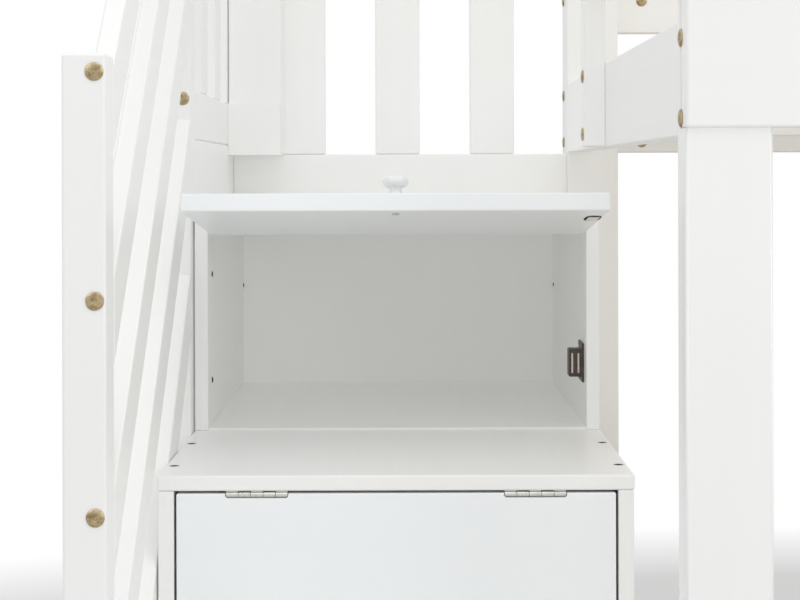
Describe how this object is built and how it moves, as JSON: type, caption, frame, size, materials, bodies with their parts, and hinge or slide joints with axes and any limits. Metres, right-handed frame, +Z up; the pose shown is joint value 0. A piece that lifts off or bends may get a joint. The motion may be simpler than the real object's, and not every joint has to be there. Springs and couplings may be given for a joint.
{
  "type": "bunk bed with storage stairs",
  "caption": "Low bunk bed in white painted wood with a storage staircase, flap doors under each step, slatted guards and a guarded landing at the upper bunk.",
  "frame": {"origin": "middle of the underside of the whole, on the floor", "axes": "+X along the bed away from the stairs, +Y to the back, +Z up"},
  "size_m": [2.505, 1.0782, 1.492],
  "materials": {
    "white_paint": "satin white lacquer on solid wood and board",
    "door_white": "smooth cool white lacquer on board",
    "knob_white": "gloss white lacquer on turned wood",
    "slat_wood": "bare pine",
    "nickel_steel": "nickel plated",
    "screw_steel": "zinc plated",
    "catch_plastic": "dark brown moulded plastic",
    "antique_brass": "antique brass plated"
  },
  "bodies": {
    "root": {"bolt_heads": "antique_brass", "catch_magnets": "catch_plastic", "catch_pole_plates": "nickel_steel", "compartment_floor_liners": "white_paint", "entry_batten": "white_paint", "far_end_guard_boards": "white_paint", "front_far_post": "white_paint", "front_guard_boards": "white_paint", "front_stair_post": "white_paint", "hinge_fixed_leaves": "nickel_steel", "hinge_pins": "nickel_steel", "landing_board": "white_paint", "landing_corner_block": "white_paint", "landing_corner_post": "white_paint", "landing_post": "white_paint", "landing_rear_handrail": "white_paint", "landing_rear_skirt": "white_paint", "landing_rear_slats": "white_paint", "landing_side_handrail": "white_paint", "landing_side_rail": "white_paint", "landing_side_skirt": "white_paint", "landing_side_slats": "white_paint", "lower_bunk_slats": "slat_wood", "lower_far_end_rail": "white_paint", "lower_front_rail": "white_paint", "lower_rear_rail": "white_paint", "lower_stair_end_rail": "white_paint", "newel_post": "white_paint", "panel_screws": "screw_steel", "rear_far_post": "white_paint", "rear_guard_boards": "white_paint", "rear_stair_post": "white_paint", "slanted_guard_bars": "white_paint", "slat_cleats": "slat_wood", "stair_back_panel": "white_paint", "stair_end_guard_boards": "white_paint", "stair_link_post": "white_paint", "step1_base_board": "white_paint", "step1_side_left": "white_paint", "step1_side_right": "white_paint", "step1_tread": "white_paint", "step2_side_left": "white_paint", "step2_side_right": "white_paint", "step2_tread": "white_paint", "step3_side_left": "white_paint", "step3_side_right": "white_paint", "upper_bunk_slats": "slat_wood", "upper_far_end_rail": "white_paint", "upper_front_rail": "white_paint", "upper_rear_rail": "white_paint", "upper_stair_end_rail": "white_paint"},
    "step1_door": {"step1_door": "door_white", "step1_door_fittings": "nickel_steel", "step1_door_knob": "knob_white"},
    "step2_door": {"step2_door": "door_white", "step2_door_fittings": "nickel_steel", "step2_door_knob": "knob_white"},
    "landing_door": {"landing_door": "door_white", "landing_door_fittings": "nickel_steel", "landing_door_knob": "knob_white"}
  },
  "joints": [
    {"name": "step1_door_hinge", "type": "hinge", "parent": "root", "child": "step1_door", "pos_m": [-0.969, -0.5141, 0.2512], "axis": [-1, 0, 0], "range_deg": [0, 98]},
    {"name": "step2_door_hinge", "type": "hinge", "parent": "root", "child": "step2_door", "pos_m": [-0.969, -0.2381, 0.5222], "axis": [-1, 0, 0], "range_deg": [0, 98]},
    {"name": "landing_door_hinge", "type": "hinge", "parent": "root", "child": "landing_door", "pos_m": [-0.969, 0.0379, 0.7932], "axis": [-1, 0, 0], "range_deg": [-98, 0]}
  ]
}
